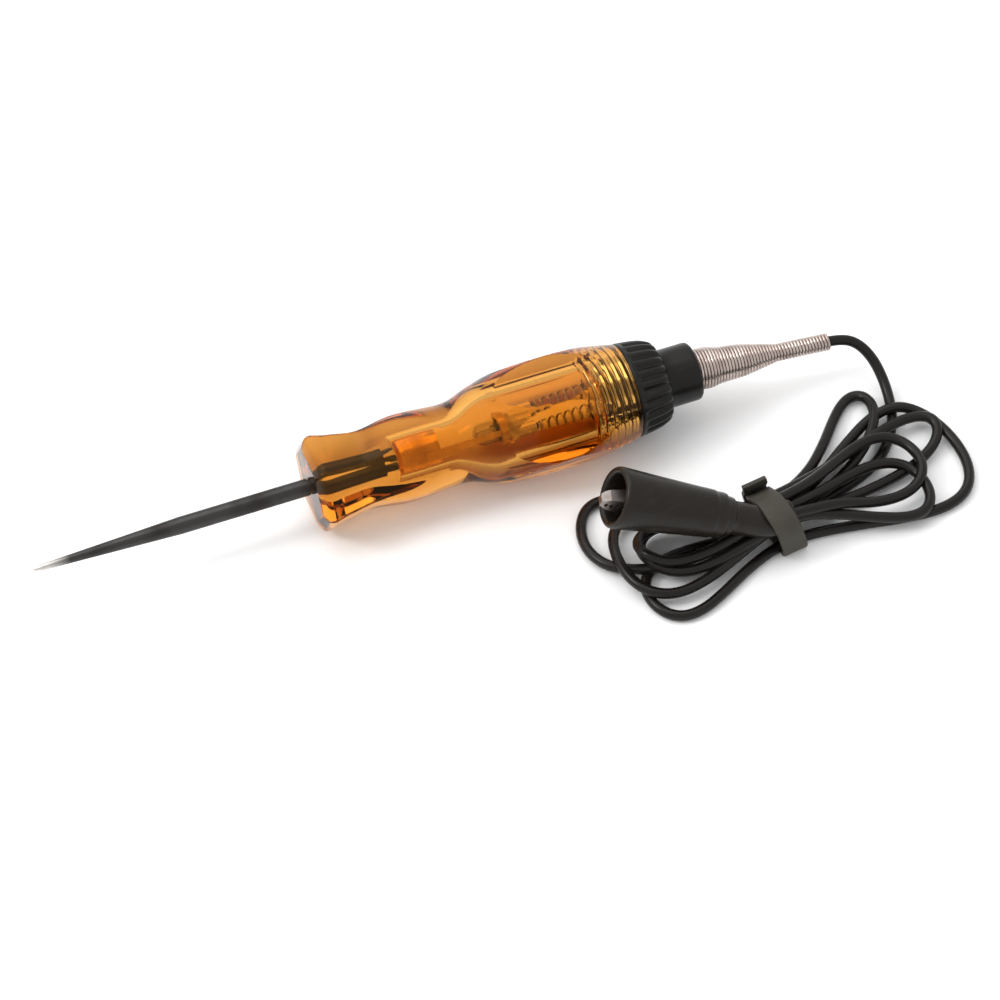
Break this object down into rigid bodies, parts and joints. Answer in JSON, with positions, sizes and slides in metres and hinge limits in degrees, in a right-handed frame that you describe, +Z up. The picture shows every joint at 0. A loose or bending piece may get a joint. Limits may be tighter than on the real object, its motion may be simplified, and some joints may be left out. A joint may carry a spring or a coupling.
{
  "type": "circuit test light",
  "caption": "Hand-held probe tester: needle probe in a clear amber handle with a lamp inside, screw cap, spring strain relief, and a tied lead ending in a booted clip.",
  "frame": {"origin": "under the middle of the tool's length, on the surface that its handle lies on", "axes": "+X from the probe tip towards the strain relief along the tool's own axis, +Z up, the lead and its hank on the -Y side"},
  "size_m": [0.2274, 0.0777, 0.0299],
  "materials": {
    "probe_steel": "blackened, tip ground bright",
    "amber_plastic": "clear amber moulding, polished",
    "brass": "bright",
    "bulb_nickel": "plated",
    "bulb_glass": "clear",
    "tungsten": "drawn wire",
    "black_glass": "glazed",
    "solder": "dull",
    "spring_steel": "drawn wire",
    "bush_plastic": "moulded",
    "copper": "stranded",
    "lead_pvc": "soft PVC, low sheen",
    "relief_nickel": "nickel-plated wire",
    "cap_plastic": "satin moulding",
    "tie_rubber": "matt",
    "boot_rubber": "soft, low sheen",
    "clip_nickel": "nickel-plated pressed steel"
  },
  "bodies": {
    "handle": {"handle": "amber_plastic", "probe": "probe_steel", "probe_contact_cup": "brass", "jumper_strip": "brass", "bulb_seat_ring": "brass", "bulb_base": "bulb_nickel", "bulb_glass": "bulb_glass", "bulb_bead": "bulb_glass", "bulb_supports": "bulb_nickel", "bulb_filament": "tungsten", "bulb_insulator": "black_glass", "bulb_contact": "solder"},
    "lead_end": {"contact_spring": "spring_steel", "terminal": "brass", "terminal_bush": "bush_plastic", "lead_conductor": "copper", "lead_inner": "lead_pvc", "strain_relief_spring": "relief_nickel", "lead_tube": "lead_pvc", "lead_hank": "lead_pvc", "hank_tie": "tie_rubber", "clip_boot": "boot_rubber", "clip_lower_jaw": "clip_nickel", "clip_rivet": "clip_nickel", "clip_spring": "spring_steel", "lead_tail": "lead_pvc", "tail_conductor": "copper"},
    "end_cap": {"end_cap": "cap_plastic"},
    "upper_jaw": {"clip_upper_jaw": "clip_nickel"}
  },
  "joints": [
    {"name": "cap_out", "type": "slide", "parent": "handle", "child": "lead_end", "axis": [1, 0, 0], "range_m": [0, 0.008]},
    {"name": "cap_turn", "type": "hinge", "parent": "lead_end", "child": "end_cap", "pos_m": [0.0664, 0, 0.0131], "axis": [1, 0, 0], "range_deg": [0, 1440.1]},
    {"name": "jaw_open", "type": "hinge", "parent": "lead_end", "child": "upper_jaw", "pos_m": [0.04628, -0.04127, 0.01679], "axis": [0.2924, 0.9563, 0], "range_deg": [0, 11], "stiffness_Nm_per_rad": 0.1, "springref_deg": -17.19}
  ],
  "couplings": [
    {"joint": "cap_turn", "follows": "cap_out", "rad_per_m": 3141.6}
  ]
}
